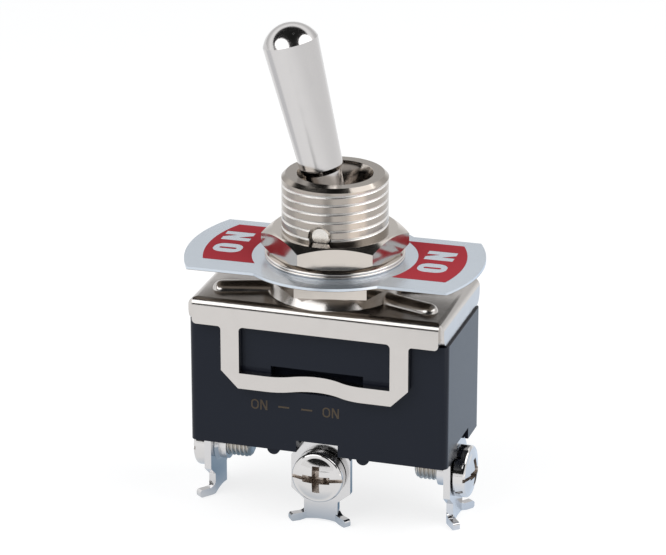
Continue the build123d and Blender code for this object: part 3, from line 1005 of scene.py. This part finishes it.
def housing_print(shop: FinishShop) -> None:
    """The two words and the two dashes printed on the housing's front.

    Args:
        shop: Where the material comes from.
    """
    outlines: List[Outline] = []
    for left in PRINT_WORDS:
        outlines += PRINT_LETTERS.word(left)
    low, high = DASH_SPAN
    for left in PRINT_DASHES:
        right = left + DASH_LENGTH
        outlines.append([(left, low), (right, low), (right, high), (left, high)])
    upright = Matrix.Rotation(math.radians(90.0), 4, "X")
    corner = Vector((0.0, HOUSING_FRONT - PRINT_STANDOFF, PRINT_LINE_Z)) * MM
    place = Matrix.Translation(corner) @ upright
    thing = flat_piece("housing_print", outlines, PRINT_THICKNESS, place)
    dress(thing, PRINT_GOLD, shop)
    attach(thing, Body.SWITCH.value)


@dataclass(frozen=True)
class Softbox:
    """A broad lamp that looks at the origin.

    Args:
        name: Object name.
        azimuth_deg: Its bearing, 0 along +X and -90 in front.
        elevation_deg: Its height above the horizon.
        distance: Distance from the origin in millimetres.
        size: Width and height in millimetres.
        power: Power in watts.
    """

    name: str
    azimuth_deg: float
    elevation_deg: float
    distance: float
    size: Point2
    power: float

    def build(self) -> None:
        """Makes the lamp."""
        azimuth, elevation = math.radians(self.azimuth_deg), math.radians(self.elevation_deg)
        toward = Vector((math.cos(azimuth) * math.cos(elevation),
                         math.sin(azimuth) * math.cos(elevation), math.sin(elevation)))
        data = bpy.data.lights.new(self.name, "AREA")
        data.shape = "ELLIPSE"
        data.size, data.size_y = self.size[0] * MM, self.size[1] * MM
        data.energy = self.power
        lamp = linked(self.name, data)
        lamp.location = toward * self.distance * MM
        lamp.rotation_euler = toward.to_track_quat("Z", "Y").to_euler()


@dataclass(frozen=True)
class FloorPatch:
    """A round patch of the floor whose glow is toned in reflections alone.

    Args:
        centre: Its centre in millimetres.
        full: Radius of the full tone.
        clear: Radius where the tone has faded out.
        tone: Glow inside it.
    """

    centre: Point2
    full: float
    clear: float
    tone: Color

    def mix(self, tree: bpy.types.NodeTree, base: bpy.types.NodeSocket, where: bpy.types.NodeSocket,
            reflected: bpy.types.NodeSocket) -> bpy.types.NodeSocket:
        """Adds the nodes of the patch.

        Args:
            tree: The floor's node tree.
            base: Glow without the patch.
            where: Object coordinates.
            reflected: 1 on reflected rays.

        Returns:
            The glow with the patch.
        """
        reach = tree.nodes.new("ShaderNodeVectorMath")
        reach.operation = "DISTANCE"
        reach.inputs[1].default_value = (self.centre[0] * MM, self.centre[1] * MM, FLOOR_Z * MM)
        inside = tree.nodes.new("ShaderNodeMapRange")
        inside.inputs["From Min"].default_value = self.clear * MM
        inside.inputs["From Max"].default_value = self.full * MM
        both = tree.nodes.new("ShaderNodeMath")
        both.operation = "MULTIPLY"
        tint = tree.nodes.new("ShaderNodeMix")
        tint.data_type = "RGBA"
        tint.inputs["B"].default_value = (*self.tone, 1.0)
        tree.links.new(where, reach.inputs[0])
        tree.links.new(reach.outputs["Value"], inside.inputs["Value"])
        tree.links.new(inside.outputs["Result"], both.inputs[0])
        tree.links.new(reflected, both.inputs[1])
        tree.links.new(both.outputs[0], tint.inputs["Factor"])
        tree.links.new(base, tint.inputs["A"])
        return tint.outputs["Result"]


# Glow of the floor seen in reflections: a bluish painted reflection behind the part, a painted
# shadow under the switch, a dark patch in front, a painted bright pool at the right front and a
# grey patch at the left.
FLOOR_PATCHES = (
    FloorPatch((12.0, 46.0), 46.0, 58.0, (0.70, 0.83, 1.0)),
    FloorPatch((-2.0, 7.0), 10.0, 19.0, (0.15, 0.26, 0.38)),
    FloorPatch((2.0, -101.0), 15.0, 22.0, (0.1, 0.1, 0.1)),
    FloorPatch((93.0, -42.0), 28.0, 44.0, (2.0, 1.86, 1.74)),
    FloorPatch((-96.0, 4.0), 24.0, 36.0, (0.65, 0.66, 0.68)),
)


@dataclass(frozen=True)
class Tent:
    """A studio tent over the part, seen by reflections alone.

    It is a dome with a pale wall that reaches higher behind the part than in front, and a dark top.
    The glow at a point depends on its direction's share along an axis that leans to the front:
    share = direction . axis.

    Args:
        radius: Radius in millimetres.
        lean_deg: Lean of the axis from +Z to the front.
        span_deg: Elevations of the dome's foot and top circle.
        rings: Circles of the mesh.
        columns: Points round each circle.
        levels: Pairs of share and glow, from the wall's foot behind the part to the top.
    """

    radius: float = 520.0
    lean_deg: float = 25.0
    span_deg: Point2 = (4.0, 89.0)
    rings: int = 24
    columns: int = 64
    levels: Tuple[Point2, ...] = ((-0.42, 1.0), (-0.15, 0.66), (0.05, 0.75), (0.25, 1.15),
                                  (0.43, 1.1), (0.48, 0.02), (1.0, 0.015))

    def build(self) -> None:
        """Makes the dome and its glow."""
        elevation = np.radians(np.linspace(*self.span_deg, self.rings))
        angle = full_turn(self.columns)
        flat = np.cos(elevation)[:, None]
        upright = np.sin(elevation)[:, None] + 0.0 * angle
        points = np.stack([flat * np.cos(angle), flat * np.sin(angle), upright], axis=2)
        number = np.arange(self.rings * self.columns).reshape(self.rings, self.columns)
        beside = np.roll(number, -1, axis=1)
        faces = np.stack([number[:-1], number[1:], beside[1:], beside[:-1]], axis=2)
        tent = mesh_object("dark_tent", points.reshape(-1, 3) * self.radius, faces.reshape(-1, 4),
                           TENT_SMOOTH_DEG)
        tent.data.materials.append(self.material())
        for flag in ("visible_camera", "visible_diffuse", "visible_transmission",
                     "visible_volume_scatter", "visible_shadow"):
            setattr(tent, flag, False)

    def material(self) -> bpy.types.Material:
        """The tent's glow by height.

        Returns:
            The material.
        """
        material = bpy.data.materials.new("tent_glow")
        material.use_nodes = True
        tree = material.node_tree
        tree.nodes.clear()
        coords = tree.nodes.new("ShaderNodeTexCoord")
        lean = math.radians(self.lean_deg)
        along = tree.nodes.new("ShaderNodeVectorMath")
        along.operation = "DOT_PRODUCT"
        along.inputs[1].default_value = (0.0, -math.sin(lean), math.cos(lean))
        share = tree.nodes.new("ShaderNodeMapRange")
        share.inputs["From Min"].default_value = -self.radius * MM
        share.inputs["From Max"].default_value = self.radius * MM
        ramp = tree.nodes.new("ShaderNodeValToRGB")
        marks = ramp.color_ramp.elements
        while len(marks) < len(self.levels):
            marks.new(0.5)
        for mark, (spot, glow) in zip(marks, self.levels):
            mark.position = (spot + 1.0) / 2.0
            mark.color = (glow, glow, glow, 1.0)
        glow = tree.nodes.new("ShaderNodeEmission")
        output = tree.nodes.new("ShaderNodeOutputMaterial")
        tree.links.new(coords.outputs["Object"], along.inputs[0])
        tree.links.new(along.outputs["Value"], share.inputs["Value"])
        tree.links.new(share.outputs["Result"], ramp.inputs["Fac"])
        tree.links.new(ramp.outputs["Color"], glow.inputs["Color"])
        tree.links.new(glow.outputs["Emission"], output.inputs["Surface"])
        return material


def build_camera() -> None:
    """The camera that matches the photograph's view."""
    target = Vector(CAMERA_TARGET)
    azimuth = math.radians(CAMERA_AZIMUTH_DEG)
    elevation = math.radians(CAMERA_ELEVATION_DEG)
    offset = Vector((math.sin(azimuth) * math.cos(elevation),
                     -math.cos(azimuth) * math.cos(elevation), math.sin(elevation)))
    data = bpy.data.cameras.new("camera")
    data.lens = CAMERA_LENS_MM
    data.sensor_width = CAMERA_SENSOR_MM
    data.clip_start, data.clip_end = CAMERA_CLIP_M
    camera = linked("camera", data)
    camera.location = target + offset * CAMERA_DISTANCE
    camera.rotation_euler = (-offset).to_track_quat("-Z", "Y").to_euler()
    bpy.context.scene.camera = camera


def seen_ray(tree: bpy.types.NodeTree) -> bpy.types.NodeSocket:
    """Adds the nodes that tell the camera's, reflected and transmitted rays from the rest.

    Args:
        tree: The node tree to add to.

    Returns:
        A socket that is 1 on those rays.
    """
    light_path = tree.nodes.new("ShaderNodeLightPath")
    seen = light_path.outputs["Is Camera Ray"]
    for ray in ("Is Glossy Ray", "Is Transmission Ray"):
        either = tree.nodes.new("ShaderNodeMath")
        either.operation = "MAXIMUM"
        tree.links.new(seen, either.inputs[0])
        tree.links.new(light_path.outputs[ray], either.inputs[1])
        seen = either.outputs[0]
    return seen


def build_world() -> None:
    """A soft even world that the camera and reflections see as plain white."""
    scene = bpy.context.scene
    scene.view_settings.view_transform = "Standard"
    world = bpy.data.worlds.new("studio")
    scene.world = world
    world.use_nodes = True
    tree = world.node_tree
    tree.nodes.clear()
    output = tree.nodes.new("ShaderNodeOutputWorld")
    soft = tree.nodes.new("ShaderNodeBackground")
    soft.inputs["Color"].default_value = (*WORLD_TINT, 1.0)
    soft.inputs["Strength"].default_value = WORLD_LEVEL
    white = tree.nodes.new("ShaderNodeBackground")
    white.inputs["Color"].default_value = (*WHITE, 1.0)
    white.inputs["Strength"].default_value = 1.0
    mix = tree.nodes.new("ShaderNodeMixShader")
    tree.links.new(seen_ray(tree), mix.inputs[0])
    tree.links.new(soft.outputs[0], mix.inputs[1])
    tree.links.new(white.outputs[0], mix.inputs[2])
    tree.links.new(mix.outputs[0], output.inputs[0])


SOFTBOXES = (
    Softbox("key_left", -128.0, 40.0, 330.0, (360.0, 230.0), 0.45),
    Softbox("key_right", 0.0, 48.0, 330.0, (360.0, 230.0), 0.45),
)


def floor_material() -> bpy.types.Material:
    """Paint that looks white to the camera and in reflections, and still shows the part's shadow.

    Patches round and under the part are toned in reflections: painted reflections, with a painted
    shadow under the part.

    Returns:
        The material.
    """
    material = bpy.data.materials.new("pale_floor")
    material.use_nodes = True
    tree = material.node_tree
    shader = tree.nodes["Principled BSDF"]
    shader.inputs["Base Color"].default_value = (*FLOOR_PAINT, 1.0)
    shader.inputs["Roughness"].default_value = FLOOR_ROUGHNESS
    shader.inputs["Specular IOR Level"].default_value = 0.0
    level = tree.nodes.new("ShaderNodeMath")
    level.operation = "MULTIPLY"
    level.inputs[1].default_value = FLOOR_GLOW
    tree.links.new(seen_ray(tree), level.inputs[0])
    tree.links.new(level.outputs[0], shader.inputs["Emission Strength"])
    where = tree.nodes.new("ShaderNodeTexCoord").outputs["Object"]
    reflected = tree.nodes.new("ShaderNodeLightPath").outputs["Is Glossy Ray"]
    white = tree.nodes.new("ShaderNodeRGB")
    white.outputs[0].default_value = (*WHITE, 1.0)
    glow = white.outputs[0]
    for patch in FLOOR_PATCHES:
        glow = patch.mix(tree, glow, where, reflected)
    tree.links.new(glow, shader.inputs["Emission Color"])
    return material


def build_studio() -> None:
    """Camera, world, floor, lamps and tent."""
    build_camera()
    build_world()
    half = FLOOR_HALF * MM
    z = FLOOR_Z * MM
    corners = [(-half, -half, z), (half, -half, z), (half, half, z), (-half, half, z)]
    mesh = bpy.data.meshes.new("floor")
    mesh.from_pydata(corners, [], [(0, 1, 2, 3)])
    floor = linked("floor", mesh)
    mesh.materials.append(floor_material())
    for softbox in SOFTBOXES:
        softbox.build()
    Tent().build()


def main() -> None:
    """Loads the CAD part, dresses it and sets up the studio."""
    logging.basicConfig(level=logging.INFO)
    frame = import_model()
    shop = FinishShop()
    for node, thing in frame["nodes"].items():
        for slot in thing.material_slots:
            slot.material = shop.get(NODE_FINISH[node])
    Bushing().build(shop)
    beaded_washer(shop)
    for body, node, place, turn in (
            (Body.SCREW_LEFT, "terminal_screw_left", (-END_STRIP_X, 0.0, SCREW_Z), -90.0),
            (Body.SCREW_CENTRE, "terminal_screw_centre", (0.0, -CENTRE_STRIP_Y, SCREW_Z), 0.0),
            (Body.SCREW_RIGHT, "terminal_screw_right", (END_STRIP_X, 0.0, SCREW_Z), 90.0)):
        TerminalScrew(body, node, place, turn).build(shop)
    for side, foot_x in ((-1, -10.6), (1, 13.2)):
        LabelField(side, foot_x).build(shop)
    housing_print(shop)
    build_studio()


if __name__ == "__main__":
    main()
